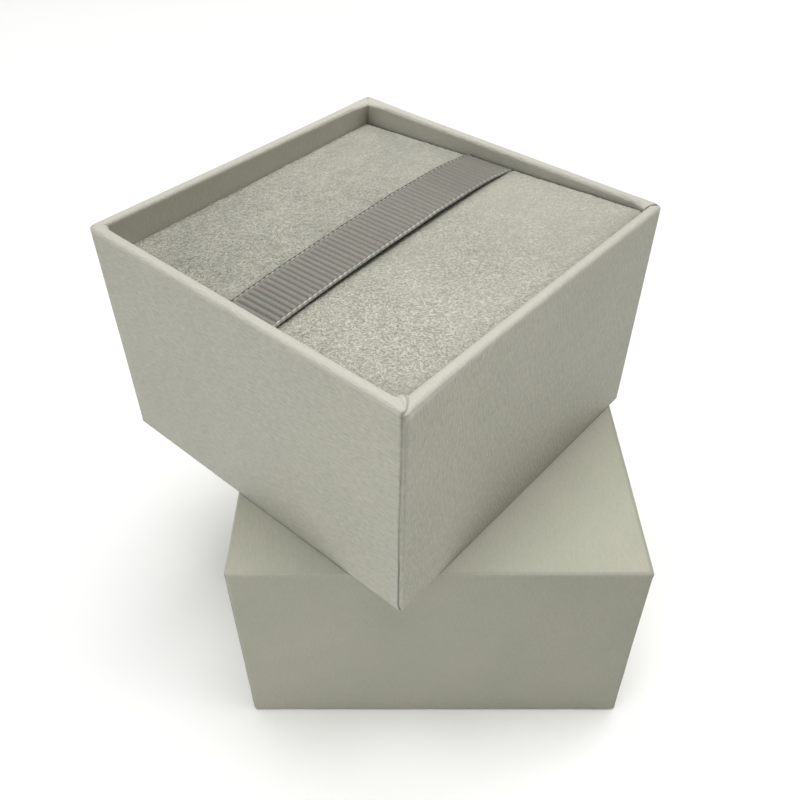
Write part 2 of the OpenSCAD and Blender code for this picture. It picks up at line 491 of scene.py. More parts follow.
def side_of_columns():
    """The wall that the strip of faces after each column belongs to.

    The sheet of an even wall runs round both its upright corners.
    """
    owner = []
    for side in range(4):
        even = side % 2 == 0
        owner += [side] * (SIDE_COLS - 1)
        owner += [side if even else (side + 1) % 4] * ARC
    return np.array(owner)


def fold(inset, h, radius, start, end, count, zone):
    """Rows round a fold's centre, between two directions in degrees: 0 faces out and 90 up."""
    rows = []
    for angle in np.radians(np.linspace(start, end, count)):
        outward, upward = math.cos(angle), math.sin(angle)
        at = inset - radius * outward
        share = min(at / RIM_T, 1.0) if zone == "rim" else 0
        rows.append((at, h + radius * upward, outward, upward, zone, share))
    return rows


def skin_rows(half, height):
    """The section of a wrapped shell, from the panel's middle round the rim and back.

    Each row is (inset, h, outward, upward, zone, share): the inset from the outer face,
    the distance from the panel's face, the face's direction there, the zone's name, and
    how far across the rim the row is, from 0 outside to 1 inside.
    """
    # the panel's rows, given for a half width of 30.4 mm
    middle = (0.6, 2, 4, 6.5, 9, 11.5, 14, 16.5, 19, 21.5, 24, 26, 27.5, 28.6)
    rows = [(half * (1 - w / 30.4), 0.0, 0, -1, "panel", 0) for w in middle]
    rows += [(inset, 0.0, 0, -1, "panel", 0) for inset in (1.2, 0.9, 0.7)]
    rows += fold(EDGE_R, EDGE_R, EDGE_R, -90, 0, 9, "edge")
    low, high = EDGE_R, height - RIM_OUT_R
    close = np.array([0.1, 0.2, 0.3, 0.42, 0.55, 0.7, 0.9, 1.15, 1.5, 2.1])
    levels = np.concatenate([low + close, np.linspace(low + 3, high - 3, 34), (high - close)[::-1]])
    rows += [(0.0, h, 1, 0, "wall", 0) for h in levels]
    rows += fold(RIM_OUT_R, high, RIM_OUT_R, 0, 90, 8, "rim")
    for inset in np.linspace(RIM_OUT_R, RIM_T - RIM_IN_R, 6)[1:-1]:
        rows.append((inset, height, 0, 1, "rim", inset / RIM_T))
    rows += fold(RIM_T - RIM_IN_R, height - RIM_IN_R, RIM_IN_R, 90, 180, 6, "rim")
    inside = (0.6, 0.8, 1.1, 1.6, 2.3, 3.2, 4.3, 5.5, 7, 8.5, 10, 11.2, 11.8, TURN_IN)
    rows += [(RIM_T, height - down, -1, 0, "turn_in", 1) for down in inside]
    # the glued side runs from the end of the turn-in back to the panel's middle
    rows.append((RIM_T - SKIN_T, height - TURN_IN, 1, 0, "glue", 1))
    rows += fold(RIM_T - RIM_IN_R, height - RIM_IN_R, RIM_IN_R - SKIN_T, 180, 90, 4, "glue")
    rows += fold(RIM_OUT_R, high, RIM_OUT_R - SKIN_T, 90, 0, 5, "glue")
    rows += fold(EDGE_R, EDGE_R, EDGE_R - SKIN_T, 0, -90, 5, "glue")
    return rows + [(half - 0.6, SKIN_T, 0, 1, "glue", 0)]


def corner_radius(inset, zone):
    """Radius of the plan's corner for a row: round outside, and sharper across the rim."""
    share = 0.0 if zone == "panel" else min(inset / RIM_T, 1.0)
    return CORNER_R - (CORNER_R - INNER_R) * share


def seam_line(row, seam):
    """Where the cut edge runs in a row, as a distance round the corner."""
    _, h, _, _, zone, share = row
    if zone in ("rim", "turn_in"):
        return seam["at"] * (1 - share) + seam["bulge"] * math.sin(0.8 * math.pi * share)
    wander = 0.05 * value_noise(np.array([h]), np.array([7.0 * seam["gap"]]), 3.5, 11)[0]
    return seam["at"] * min(1.0, h / 1.5) + wander


def seam_relief(q, row, height, seam):
    """Height and shade of the paper near one upright corner: the cut edge's groove is dark as a
    dark joint with painted shadow in it, and the sunk strip beside it gets painted shade.

    q is the distance round the corner, towards the even wall, whose sheet runs under the
    other's cut edge.
    """
    _, h, _, _, zone, share = row
    if zone in ("panel", "glue"):
        return np.zeros_like(q), np.ones_like(q)
    strength = {"edge": smooth((h - 0.1) / 0.4), "wall": 1.0, "rim": 0.85, "turn_in": 0.2}[zone]
    x = q - seam_line(row, seam)
    under = smooth(x / 0.06 + 0.5)
    sunk = 2 * under * (1 - smooth((x - 0.1) / 1.1)) + smooth((x - 0.3) / 1.5)
    level = SEAM_RISE * (1 - sunk) * smooth(1.5 - np.abs(q) / 4.0)
    foot = 1 - smooth(h / 22)
    if zone == "rim":
        gape = seam["gap"] * (1 - share)
        groove = bell(x, SEAM_W * (1 + 0.7 * gape)) * (1 - 0.55 * share + gape)
        dark = 0.48
    else:
        groove = bell(x, SEAM_W * (1 + 0.8 * smooth(h / height)))
        dark = 0.26 + 0.85 * foot
    level = level - SEAM_GROOVE * groove
    # the groove's dark line: a dark joint at the cut edge, with painted shadow in the groove
    shade = np.exp(-dark * groove)
    if zone == "wall" and seam["strip"]:
        # the under sheet shows as a sunk strip, deepest where the rim's fold ends above it, and
        # painted shade darkens it
        near_rim = math.exp(-(height - RIM_OUT_R - h) / 3.0)
        strip = smooth((x + 0.16) / 0.14) * (1 - smooth((x - 0.6 * seam["strip"]) / 0.6))
        level = level - 0.09 * strip * near_rim
        shade = shade * (1 - 0.12 * strip * (1 - foot + near_rim))
    return level * strength, 1 - (1 - shade) * strength


def corner_fill(q, row, height, seam):
    """How far the folded paper stands into the box beside an upright corner."""
    _, h, _, _, zone, share = row
    if zone not in ("rim", "turn_in"):
        return np.zeros_like(q)
    down = max(0.0, height - h - RIM_IN_R)
    x = q - seam_line(row, seam)
    across = np.where(x < 0, smooth(x / seam["reach"] + 1.1), 1 - smooth(x / seam["beyond"]))
    return seam["fill"] * across * share ** 1.5 * math.exp(-(down / 2.5) ** 2)


def corner_shift(q, row, height, seam):
    """How far a corner stands out in x and in y, growing from the panel to the rim."""
    _, h, _, _, zone, share = row
    if zone in ("panel", "glue", "turn_in"):
        return np.zeros((2, len(q)))
    quick, slow = np.exp(-np.abs(q) / 3.0), np.exp(-np.abs(q) / 9.0)
    grow = (h / height) ** 1.4 * (1 - share) ** 0.7
    in_x, in_y = np.where(q < 0, slow, quick), np.where(q > 0, slow, quick)
    return grow * np.array([seam["splay"] * in_x, seam["lean"] * in_y])


def rub_and_highlight(row, height, along, q, corner, wall, pale_reach, seed):
    """How pale a row's paper is, from wear and painted highlight on its folds. The list of reaches
    says how far that pale band runs down each wall.
    """
    _, h, outward, upward, zone, _ = row
    ragged = 0.5 + 0.5 * value_noise(along, np.full(len(q), h), 0.7, seed)
    # the rim's fold is palest where it faces up: wear and painted highlight
    if zone == "rim":
        return smooth(upward * 1.6 + 0.25 * (ragged - 0.5) + pale_reach[0]) * (0.88 + 0.12 * ragged)
    if zone == "wall":
        beside_front = (corner == 3) * (q > 0) * np.exp(-np.abs(q) / 6.0)
        reach = np.array(pale_reach)[wall] + 1.8 * pale_reach[0] * beside_front
        below = height - RIM_OUT_R - h
        return smooth((reach * (0.7 + 0.6 * ragged) - below) / 0.5) * smooth(reach / 0.1)
    if zone == "turn_in":
        below = height - h - RIM_IN_R
        return np.full(len(q), 0.75 * smooth((pale_reach[1] - below) / 0.35) * smooth(pale_reach[1] / 0.1))
    if zone == "edge":
        return 0.45 * bell(outward - 0.75, 0.3) * (0.2 + 0.8 * ragged)
    return np.zeros(len(q))


def round_corners(along, length):
    """For points of an outline: the nearest corner, the distance q round it, and the wall.

    q grows towards the corner's even wall.
    """
    quarter = length / 4
    corner = np.floor(along / quarter).astype(int) % 4
    q = (along - (corner + 0.5) * quarter + length / 2) % length - length / 2
    past = q > 0
    return corner, np.where(corner % 2 == 0, -q, q), (corner + past) % 4


def skin_row(row, half, height, look, seed):
    """One row of a shell: its points, shade (painted shade and the seams' dark lines), wear and
    painted highlight, places along the outline, and its length.
    """
    inset, h, outward, upward, zone, share = row
    spot, out, along, length = ring(half - inset, corner_radius(inset, zone))
    corner, q, wall = round_corners(along, length)
    level, shade, inward = np.zeros(len(q)), np.ones(len(q)), np.zeros(len(q))
    shift = np.zeros((2, len(q)))
    for k, seam in enumerate(look["seams"]):
        here = corner == k
        level[here], shade[here] = seam_relief(q[here], row, height, seam)
        inward[here] = corner_fill(q[here], row, height, seam)
        shift[:, here] = corner_shift(q[here], row, height, seam)
    if zone in ("edge", "wall", "rim"):
        flat_h = np.full(len(q), h)
        swell = value_noise(along, flat_h, 13.0, seed)
        swell = swell + 0.5 * value_noise(along, flat_h, 5.0, seed + 1)
        level = level + PAPER_SWELL * (1.5 + swell) * (1 - share)
        # painted shade and light along the outline, given at the corners and the walls' middles
        painted_shade_along = look["painted_shade_along"] + look["painted_shade_along"][:1]
        shade = shade * np.interp((8 * along / length - 1) % 8, range(9), painted_shade_along)
    if zone == "rim":
        level = level + RIM_BEAD * math.sin(math.pi * share)
    # painted shade inside the walls
    if zone == "turn_in":
        shade = shade * TURN_IN_PAINTED_SHADE
    points = np.zeros((len(q), 3))
    points[:, :2] = spot + out * (level * outward - inward)[:, None]
    points[:, 0] += shift[0] * np.array([1, 1, -1, -1])[corner]
    points[:, 1] += shift[1] * np.array([-1, 1, 1, -1])[corner]
    points[:, 2] = h + level * upward
    wear_and_highlight = rub_and_highlight(row, height, along, q, corner, wall, look["pale_reach"], seed + 2)
    return points, shade, wear_and_highlight, along, length


def end_fans(rows, cols):
    """Triangles that close the first and last row of a wrapped grid to a point each."""
    step = np.arange(cols)
    after = (step + 1) % cols
    base = (rows - 1) * cols
    first = np.stack([np.full(cols, rows * cols), after, step], 1)
    last = np.stack([np.full(cols, rows * cols + 1), base + step, base + after], 1)
    return first.tolist() + last.tolist()


def wrapped_shell(name, place, half, height, material, look, seed):
    """A box half's wrapping paper: one closed sheet over the panel, walls and rim."""
    rows = skin_rows(half, height)
    owner = side_of_columns()
    parts = [skin_row(row, half, height, look, seed) for row in rows]
    points = [part[0] for part in parts] + [[[0, 0, rows[0][1]]], [[0, 0, rows[-1][1]]]]
    crisp = [TURN_IN_CRISP if row[4] == "turn_in" else 1.0 for row in rows]
    attributes = {
        "shade": np.append(np.concatenate([part[1] for part in parts]), [1, 1]),
        "wear_and_highlight": np.append(np.concatenate([part[2] for part in parts]), [0, 0]),
        "crisp": np.append(np.repeat(crisp, len(owner)), [1, 1]),
    }
    uv = sheet_uv(owner, [part[3:] for part in parts], sheet_profile(rows, half))
    quads = grid_faces(len(rows), len(owner), wrap=True)
    tris = end_fans(len(rows), len(owner))
    return make_piece(name, place, np.concatenate(points), quads, tris, material, attributes, uv)


def sheet_profile(rows, half):
    """How far each row lies from the panel's middle on the flat sheet."""
    profile, travelled = [], 0.0
    for last, row in zip([rows[0]] + rows, rows):
        if row[4] != "panel":
            travelled += math.hypot(row[0] - last[0], row[1] - last[1])
        profile.append(half - row[0] if row[4] == "panel" else half - 0.7 + travelled)
    return profile


def sheet_uv(owner, outline, profile):
    """Where each face corner lies on the flat sheet, in mm: the walls fold out from the panel."""
    turn = owner * math.pi / 2

    def place(row, columns):
        along, length = outline[row]
        a = (along[columns] - owner * length / 4 + length / 2) % length - length / 2
        away = profile[row]
        return a * np.cos(turn) + away * np.sin(turn), a * np.sin(turn) - away * np.cos(turn)

    fans = np.zeros((2 * len(owner) * 3, 2))
    return np.concatenate([corner_uv(len(profile), len(owner), place), fans])


# ---------------------------------------------------------------- the padded insert

def crown(x, y):
    """The pad's rise above its edges: nearly flat, and falling away close to them."""
    hx, hy = PAD_SIZE[0] / 2, PAD_SIZE[1] / 2
    fx = 1 - np.abs(np.clip(x / hx, -1, 1)) ** 2.6
    fy = 1 - np.abs(np.clip(y / hy, -1, 1)) ** 2.6
    return PAD_CROWN * fx ** 0.8 * fy ** 0.8


def nap_fibres(rng, loose):
    """One layer of curled fibres on the picture, as the cells and height of each of their steps.

    Loose fibres are fewer, longer and higher, and so paler, as the suede's colour paints light on
    raised fibres.
    """
    steps = 18
    count = 7000 if loose else 12000
    x, y = rng.uniform(-NAP_HALF, NAP_HALF, (2, count))
    angle = 2.6 * value_noise(x, y, 7.0, 21) + 1.3 * value_noise(x, y, 2.6, 22)
    angle = angle + rng.normal(0, 0.6, count)
    curl = rng.normal(0, 2.2, count)
    length = rng.uniform(0.7, 1.25, count) if loose else rng.uniform(0.5, 1.0, count)
    level = rng.uniform(0.9, 1.15, count) if loose else rng.uniform(0.5, 0.95, count)
    last = int(2 * NAP_HALF / NAP_CELL) - 3
    trail = []
    for k in range(steps):
        i = np.clip(((x + NAP_HALF) / NAP_CELL).astype(int), 2, last)
        j = np.clip(((y + NAP_HALF) / NAP_CELL).astype(int), 2, last)
        trail.append((i, j, level * math.sin(math.pi * (k + 0.7) / (steps + 0.4)) ** 0.5))
        x = x + np.cos(angle) * length / steps
        y = y + np.sin(angle) * length / steps
        angle = angle + curl * length / steps
    return trail


def nap_map():
    """Brushed nap as a picture of heights: short curled fibres that follow slow swirls.

    They are laid down a layer at a time, each fibre over the thin gap that it leaves.
    """
    rng = np.random.default_rng(5)
    size = int(2 * NAP_HALF / NAP_CELL)
    heights = np.zeros((size, size))
    for loose in [False] * NAP_LAYERS + [True] * NAP_LOOSE_LAYERS:
        trail = nap_fibres(rng, loose)
        # each fibre leaves a low gap to one side of it: a hollow in the mesh, and painted shadow in
        # the suede's colour
        for i, j, _ in trail:
            for di, dj in np.ndindex(3, 3):
                heights[i + di - 1, j + dj - 1] = 0.0
        for i, j, top in trail:
            for di, dj in np.ndindex(2, 2):
                heights[i + di, j + dj] = top
    for axis in (0, 1):
        beside = np.roll(heights, 1, axis) + np.roll(heights, -1, axis)
        heights = 0.64 * heights + 0.18 * beside
    return (heights - heights.mean()) / heights.std()


def sample(table, gx, gy):
    """A table's value at points given in cells, between its entries."""
    gx = np.clip(gx, 0, table.shape[0] - 1.001)
    gy = np.clip(gy, 0, table.shape[1] - 1.001)
    i, j = gx.astype(int), gy.astype(int)
    return between(lambda i, j: table[i, j], i, j, gx - i, gy - j)


def simulated_rise():
    """A cloth cushion of the pad's size, blown up a little, as a tree to cast rays at.

    Cloth behaves best at the size of a real cushion, so it is made ten times larger.
    """
    grow = 10.0
    frames = 20
    size = PAD_SIZE * grow * MM
    bpy.ops.mesh.primitive_cube_add(size=1)
    cushion = bpy.context.object
    cushion.scale = (size[0] * 0.985, size[1] * 0.985, size[2])
    bpy.ops.object.transform_apply(scale=True)
    remesh = cushion.modifiers.new("even", "REMESH")
    remesh.mode = "VOXEL"
    remesh.voxel_size = 0.0075
    bpy.ops.object.modifier_apply(modifier="even")
    rest = np.array([v.co for v in cushion.data.vertices])
    stiff = cushion.vertex_groups.new(name="card")
    low = rest[:, 2] < -0.5 * size[2] * 0.7
    stiff.add(np.nonzero(low)[0].tolist(), 1.0, "REPLACE")
    cloth = cushion.modifiers.new("cloth", "CLOTH")
    cloth.settings.use_pressure = True
    cloth.settings.uniform_pressure_force = 4.0
    cloth.settings.vertex_group_mass = "card"
    cloth.settings.quality = 4
    cloth.settings.effector_weights.gravity = 0.0
    cloth.collision_settings.use_collision = False
    scene = bpy.context.scene
    for number in range(1, frames + 1):
        scene.frame_set(number)
    solved = cushion.evaluated_get(bpy.context.evaluated_depsgraph_get())
    moved = np.array([v.co for v in solved.data.vertices])
    scene.frame_set(1)
    push = moved - rest
    far = np.linalg.norm(push, axis=1, keepdims=True)
    cap = PAD_CROWN * grow * MM
    moved = rest + push * np.minimum(1, cap / np.maximum(far, 1e-9))
    faces = [list(p.vertices) for p in cushion.data.polygons]
    tree = BVHTree.FromPolygons([Vector(p) for p in moved / (grow * MM)], faces)
    bpy.data.objects.remove(cushion)
    return tree


def rise_of(x, y):
    """The pad's rise at points: half the plain crown's and half the cloth's."""
    plain = crown(x, y)
    tree = simulated_rise()
    lim = PAD_SIZE[:2] / 2 * 0.93
    steps = 48
    table = np.zeros((steps, steps))
    for i, a in enumerate(np.linspace(-lim[0], lim[0], steps)):
        for j, b in enumerate(np.linspace(-lim[1], lim[1], steps)):
            hit = tree.ray_cast(Vector((a, b, 50)), Vector((0, 0, -1)))[0]
            table[i, j] = hit.z - PAD_SIZE[2] / 2 if hit else 0.0
    table = table / table.max() * PAD_CROWN
    per_mm = (steps - 1) / (2 * lim)
    cloth = sample(table, (x + lim[0]) * per_mm[0], (y + lim[1]) * per_mm[1])
    reach = np.maximum(np.abs(x) / lim[0], np.abs(y) / lim[1])
    near_edge = smooth((reach - 0.8) / 0.2)
    return plain + (np.minimum(cloth, plain * 1.35) - plain) * 0.5 * (1 - near_edge)


def rounded_plan(a, b, hx, hy, radius):
    """Maps the square from -1 to 1 onto a rectangle with rounded corners."""
    reach = np.maximum(np.abs(a), np.abs(b))
    safe = np.maximum(reach, 1e-9)
    ex, ey = np.abs(a) / safe * hx, np.abs(b) / safe * hy
    cx, cy = hx - radius, hy - radius
    over = (ex > cx) & (ey > cy)
    n = np.hypot(ex - cx, ey - cy)
    pull = np.where(over & (n > radius), radius / np.maximum(n, 1e-9), 1.0)
    fx = np.where(over, cx + (ex - cx) * pull, ex)
    fy = np.where(over, cy + (ey - cy) * pull, ey)
    near = reach ** 30
    x = a * hx + np.sign(a) * (fx - ex) * near
    y = b * hy + np.sign(b) * (fy - ey) * near
    return x, y


def pad_section(thick):
    """The pad's side and underside: places as distance past the flat top's edge, and height.

    They run round the top edge, down the side, under the card by the hem's width, and back
    inside. The number of those inside, which nothing shows, comes with them.
    """
    r = PAD_EDGE_R
    quarter = np.linspace(0, math.pi / 2, 10)[1:]
    edge = [(r * math.sin(t), -0.9 * r * (1 - math.cos(t))) for t in quarter]
    side = [(r + 0.06, -2.0), (r + 0.08, -2.6), (r + 0.04, -3.3), (r - 0.05, -4.0)]
    tuck = [
        (r - 0.25 - 0.5 * (1 - math.cos(t)), -4.6 - 0.55 * math.sin(t))
        for t in np.linspace(0.3, math.pi / 2, 4)
    ]
    hem = [(r - 1.6, 0), (r - 4, 0), (r - 7, 0), (r - 9.8, 0), (r - 10, 0.1), (r - 10, 0.52)]
    hidden = [(r - 6, 0.55), (r - 0.95, 0.55), (r - 0.9, 1.7), (r - 6, 1.75), (r - 16, 1.75)]
    return edge + side + tuck + [(dist, up - thick) for dist, up in hem + hidden], len(hidden)


def grid_outline(rows, cols):
    """The border of a grid of points, anticlockwise."""
    return np.concatenate([
        np.arange(rows - 1) * cols,
        (rows - 1) * cols + np.arange(cols - 1),
        np.arange(rows - 1, 0, -1) * cols + cols - 1,
        np.arange(cols - 1, 0, -1),
    ])


def pad_ring(edge, out, around, inner, dist, z):
    """One ring of the pad's side or underside. inner is half the flat top's size."""
    ring_points = np.zeros((len(edge), 3))
    if dist < -2 * PAD_EDGE_R:
        ring_points[:, :2] = edge[:, :2] * (inner + dist) / inner
    else:
        low = smooth(-z / 1.5) * smooth(dist + 3 - PAD_EDGE_R)
        pucker = 0.1 * low * value_noise(around, np.full(len(around), z), 3.1, 41)
        ring_points[:, :2] = edge[:, :2] + out * (dist + pucker)[:, None]
    ring_points[:, 2] = z + edge[:, 2] * math.exp(z / 1.2)
    return ring_points


def pad_quads(rows, cols, border, ring_count):
    """The top's faces and those of the rings below it; and the last ring's points."""
    quads = [grid_faces(rows, cols, wrap=False)[:, ::-1]]
    last = border
    for k in range(ring_count):
        new = rows * cols + k * len(border) + np.arange(len(border))
        quads.append(np.stack([last, new, np.roll(new, -1), np.roll(last, -1)], 1))
        last = new
    return np.concatenate(quads), last


def dress_pad(points, plan, skin, nap, half):
    """Lays the nap, the fuzzy edge, soft lumps and the ribbon's pinch on the plain pad."""
    points = points + nap
    past = np.max(np.abs(points[:, :2]) - half, axis=1)
    fuzz = 0.07 * value_noise(*plan.T, 0.35, 33) * np.exp(-np.abs(past) / 0.8)
    points[:, 2] += fuzz * skin * (points[:, 2] > -0.6)
    under_ribbon = smooth((RIBBON_W / 2 + 0.45 - np.abs(points[:, 1] - 0.2)) / 0.6)
    pull = under_ribbon * smooth((np.abs(points[:, 0]) - half[0] + 1.8) / 1.5)
    points[:, 0] -= np.sign(points[:, 0]) * (PAD_SWELL + 0.08) * pull
    lump = 0.03 * value_noise(*plan.T, 2.3, 31) + 0.05 * value_noise(*plan.T, 6.0, 32)
    points[:, 2] += lump * skin * (points[:, 2] > -1.5)
    return points


def pad_piece(material):
    """The suede cushion: a crowned top, soft sides, and a hem turned under the card."""
    half = PAD_SIZE[:2] / 2 + PAD_SWELL
    inner = half - PAD_EDGE_R
    rows, cols = int(2 * inner[0] / PAD_CELL), int(2 * inner[1] / PAD_CELL)
    a, b = np.meshgrid(np.linspace(-1, 1, rows), np.linspace(-1, 1, cols), indexing="ij")
    x, y = rounded_plan(a, b, inner[0], inner[1], PAD_PLAN_R - 0.6 * PAD_EDGE_R)
    flat = np.stack([x.ravel(), y.ravel(), rise_of(x.ravel(), y.ravel())], 1)
    border = grid_outline(rows, cols)
    edge = flat[border]
    tangent = np.roll(edge, -1, 0)[:, :2] - np.roll(edge, 1, 0)[:, :2]
    out = np.stack([tangent[:, 1], -tangent[:, 0]], 1)
    out /= np.linalg.norm(out, axis=1, keepdims=True)
    around = np.cumsum(np.linalg.norm(np.roll(edge, -1, 0) - edge, axis=1))
    section, hidden = pad_section(PAD_SIZE[2])
    rings = [pad_ring(edge, out, around, inner, dist, z) for dist, z in section]
    # the plan is unrolled down the sides, so that the nap runs on there
    unrolled = [
        edge[:, :2] + out * (dist - z) if dist > 0 else ring_points[:, :2]
        for (dist, z), ring_points in zip(section, rings)
    ]
    points = np.concatenate([flat] + rings + [[[0, 0, section[-1][1]]]])
    plan = np.concatenate([flat[:, :2]] + unrolled + [[[0, 0]]])
    quads, last = pad_quads(rows, cols, border, len(rings))
    tris = np.stack([last, np.full(len(last), len(points) - 1), np.roll(last, -1)], 1).tolist()
    # 1 where the suede shows, 0 inside
    skin = np.ones(len(points))
    skin[len(flat) + len(border) * (len(rings) - hidden):] = 0
    lively = nap_strength(*plan.T)
    cells = (plan + NAP_HALF) / NAP_CELL - 0.5
    nap = np.clip(sample(nap_map(), *cells.T), -2.2, 2.2) * lively
    raised = vertex_normals(points, quads) * (NAP_DEPTH * nap * skin)[:, None]
    points = dress_pad(points, plan, skin, raised, half)
    # the suede's shade: random patches with painted light and shade
    attributes = {"nap": nap / 2.0, "shade": pad_patches_and_painted_shade(*plan.T), "lively": lively}
    return make_piece("suede_pad", PAD, points, quads, tris, material, attributes)


def nap_strength(x, y):
    """Where the nap stands up and where it is brushed flat."""
    slow = 0.92 + 0.18 * value_noise(x, y, 9.0, 51) + 0.12 * value_noise(x, y, 4.0, 52)
    behind = 1 + 0.15 * smooth((y + 3) / 7)
    calm_right = 1 - 0.45 * smooth((x + 6) / 26)
    return np.clip(1.05 * slow * behind * calm_right, 0.2, 1.6)


def pad_patches_and_painted_shade(x, y):
    """Random patches in the suede's tone, and painted light and shade: painted shade behind the
    ribbon, to the left and along the front walls, painted shadow beside the ribbon, and painted
    light towards the front.
    """
    behind = smooth((y + 3) / 7)
    front = smooth((-x - y - 8) / 30)
    left = smooth((y - x - 14) / 26)
    from_ribbon = np.maximum(np.abs(y - RIBBON_AT - 0.0197 * x) - RIBBON_W / 2, 0)
    # painted shadow along the ribbon's edges, deeper in front of it
    beside = np.where(y < 0, 0.55, 0.35) * np.exp(-from_ribbon / 0.5)
    patches = value_noise(x, y, 3.4, 54) + value_noise(x, y, 1.3, 55)
    slow = 1 + 0.02 * value_noise(x, y, 8.0, 53) + (0.02 + 0.035 * behind) * patches
    edge = np.maximum(-x, -y) - PAD_SIZE[0] / 2
    # painted shade along the front walls and towards the left wall
    painted_wall_shade = 0.1 * np.exp(np.minimum(edge, 0)) + 0.08 * np.exp(-(x + PAD_SIZE[0] / 2) / 5.0)
    # painted shade behind the ribbon and to the left, painted light towards the front
    painted_light_and_shade = (1 - 0.09 * behind) * (1 + 0.11 * front) * (1 - 0.09 * left)
    return slow * painted_light_and_shade * (1 - painted_wall_shade) * (1 - beside)


def vertex_normals(points, quads):
    """Each point's normal, from the quads round it."""
    a = points[quads[:, 2]] - points[quads[:, 0]]
    b = points[quads[:, 3]] - points[quads[:, 1]]
    face = np.cross(a, b)
    total = np.zeros_like(points)
    for k in range(4):
        np.add.at(total, quads[:, k], face)
    length = np.linalg.norm(total, axis=1, keepdims=True)
    return total / np.maximum(length, 1e-12)


# ---------------------------------------------------------------- the ribbon

def ribbon_path():
    """The ribbon's middle line in the pad's x and z: under, up, over the arch, down, under."""
    half, thick = PAD_SIZE[0] / 2, PAD_SIZE[2]
    arch = [
        (-28.4, -0.35), (-27.8, 0.12), (-26.2, 0.4), (-24, 0.58), (-20, 0.8), (-16, 0.97),
        (-8, 1.2), (0, 1.3), (8, 1.37), (16, 1.2), (20, 1.0), (23, 0.76),
        (25.6, 0.42), (27.2, 0.2), (28.2, -0.03), (28.6, -0.25),
    ]
    outer = half + RIBBON_T / 2 - 0.04
    under = -thick - RIBBON_T / 2
    left = [
        (-half + RIBBON_TAIL, under), (-half + 8, under), (-half + 4, under), (-half + 1.2, under),
        (-half + 0.3, under + 0.12), (-outer + 0.05, under + 0.6), (-outer, under + 1.6),
        (-outer, -2.4), (-outer, -1.2), (-outer + 0.02, -0.5),
    ]
    right = [(-x, z) for x, z in reversed(left)]
    return resample(np.array(left + arch + right), 0.12)


def evenly(points, step):
    """Points at even steps along a line of points, and how far along it each one lies."""
    t = np.concatenate([[0], np.cumsum(np.linalg.norm(np.diff(points, axis=0), axis=1))])
    even = np.linspace(0, t[-1], int(t[-1] / step))
    return np.stack([np.interp(even, t, points[:, k]) for k in (0, 1)], 1), even


def resample(coarse, step):
    """Evenly spaced points on a smooth curve through the coarse ones."""
    fine, _ = evenly(coarse, 0.02)
    width = 25
    kernel = np.hanning(width + 2)[1:-1]
    kernel /= kernel.sum()
    first, last = np.repeat(fine[:1], width // 2, 0), np.repeat(fine[-1:], width // 2, 0)
    padded = np.concatenate([first, fine, last])
    return evenly(np.stack([np.convolve(padded[:, k], kernel, "valid") for k in (0, 1)], 1), step)


def ribbon_section():
    """Points round the ribbon's cross-section: across the top, then back under."""
    edge = RIBBON_W / 2
    top = np.concatenate([
        np.linspace(-edge, -edge + 0.8, 13)[:-1],
        np.linspace(-edge + 0.8, edge - 0.8, 34),
        np.linspace(edge - 0.8, edge, 13)[1:],
    ])
    under = np.linspace(edge, -edge, 12)[1:-1]
    return top, under


def ribbon_relief(s, w, x):
    """Height, shade and stitch colour over the ribbon's face at length s and width w.

    x is the place across the pad: towards the right the ribs are flatter, their painted shade
    fainter, and painted shade darkens the band.
    """
    crisp = np.interp(x, [-28, 3, 24], [1.4, 1.05, 0.4])
    jitter = 0.09 * value_noise(s, w * 0.15, 1.7, 61)
    skew = np.interp(x, [0, 20], [0.0, 0.05])
    wave = 0.5 + 0.5 * np.cos(2 * math.pi * ((s - skew * w) / RIB_PITCH + jitter))
    front = w < 0
    inside = RIBBON_W / 2 - np.abs(w)       # distance in from the selvedge

    def by_side(at_front, at_back):
        return np.where(front, at_front, at_back)

    lines_at = by_side(0.72, 0.7)
    body = smooth((inside - lines_at) / 0.1)
    height = -0.16 * crisp * wave ** 1.8 * body
    # painted shade in the rib grooves, and over the band towards its right end
    shade = (1 - 0.34 * crisp * wave ** 3 * body) * (1 - 0.14 * smooth((x - 6) / 16))
    # thin grooves run inside each selvedge, darkened with painted shade
    line = bell(inside - lines_at + 0.05, 0.06) + bell(inside - by_side(0.22, 0.3), 0.05)
    height = height - 0.06 * line
    shade = shade * (1 - 0.45 * np.clip(line, 0, 1))
    # the selvedge is a twisted cord: slanting turns at the pitch of the ribs
    cord = bell(inside - by_side(0.43, 0.48), 0.2)
    slant = by_side(0.5, -0.35) * (0.5 - inside)
    turn = 0.5 + 0.5 * np.cos(2 * math.pi * (s / RIB_PITCH + slant + 0.15 * jitter))
    knot = bell(inside - 0.1, 0.12) * turn
    height = height + cord * (0.04 + 0.1 * turn) + 0.06 * knot
    luck = np.clip(0.7 + 0.4 * value_noise(s, by_side(3.0, 9.0), 1.3, 62), 0, 1)
    bright = bell(inside - by_side(0.44, 0.5), by_side(0.16, 0.1)) * turn ** 0.8 * luck
    # painted shadow between the cord's turns along the outer edge
    gap = bell(inside - 0.1, by_side(0.14, 0.3)) * (1 - turn)
    shade = shade * (1 - gap * by_side(0.6, 0.9))
    return height, shade, bright * by_side(1.0, 0.6)


